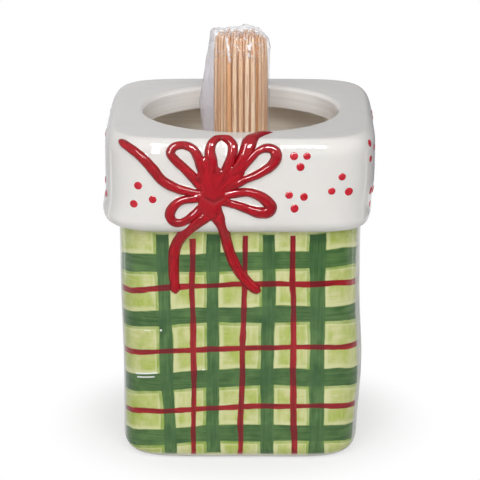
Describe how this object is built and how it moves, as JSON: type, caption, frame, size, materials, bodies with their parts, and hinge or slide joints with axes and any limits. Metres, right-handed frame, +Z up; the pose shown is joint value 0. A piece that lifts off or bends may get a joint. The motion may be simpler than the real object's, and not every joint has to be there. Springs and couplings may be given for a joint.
{
  "type": "toothpick holder",
  "caption": "Square ceramic toothpick holder shaped as a wrapped gift box, with a raised ribbon bow on its lid band, a round mouth and a bag of toothpicks standing in it.",
  "frame": {"origin": "centre of the foot on the table", "axes": "+Z up through the mouth, -Y towards the bow, +X to the right when the bow is faced"},
  "size_m": [0.0486, 0.0491, 0.0734],
  "materials": {
    "box_glaze": "clear gloss over hand-painted green and red plaid on a yellow-green ground",
    "lid_glaze": "white gloss glaze",
    "bow_glaze": "red paint under clear gloss",
    "dot_glaze": "red paint under clear gloss",
    "clear_film": "clear creased film",
    "pick_wood": "bare pale wood"
  },
  "bodies": {
    "holder": {"box_shell": "box_glaze", "lid_shell": "lid_glaze", "bow_knot": "bow_glaze", "bow_streamer_left": "bow_glaze", "bow_streamer_top": "bow_glaze", "bow_loop_top_left": "bow_glaze", "bow_loop_top": "bow_glaze", "bow_loop_top_right": "bow_glaze", "bow_loop_right": "bow_glaze", "bow_loop_bottom_left": "bow_glaze", "bow_tail_left": "bow_glaze", "bow_tail_right": "bow_glaze", "front_dots": "dot_glaze", "right_dots": "dot_glaze", "left_dots": "dot_glaze", "back_dots": "dot_glaze"},
    "toothpick_pack": {"film_bag": "clear_film", "toothpick_row_1": "pick_wood", "toothpick_row_2": "pick_wood", "toothpick_row_3": "pick_wood", "toothpick_row_4": "pick_wood", "toothpick_row_5": "pick_wood", "toothpick_row_6": "pick_wood", "toothpick_row_7": "pick_wood", "toothpick_row_8": "pick_wood", "toothpick_row_9": "pick_wood"}
  },
  "joints": [
    {"name": "pack_lift", "type": "slide", "parent": "holder", "child": "toothpick_pack", "axis": [0, 0, 1], "range_m": [0, 0.065]}
  ]
}
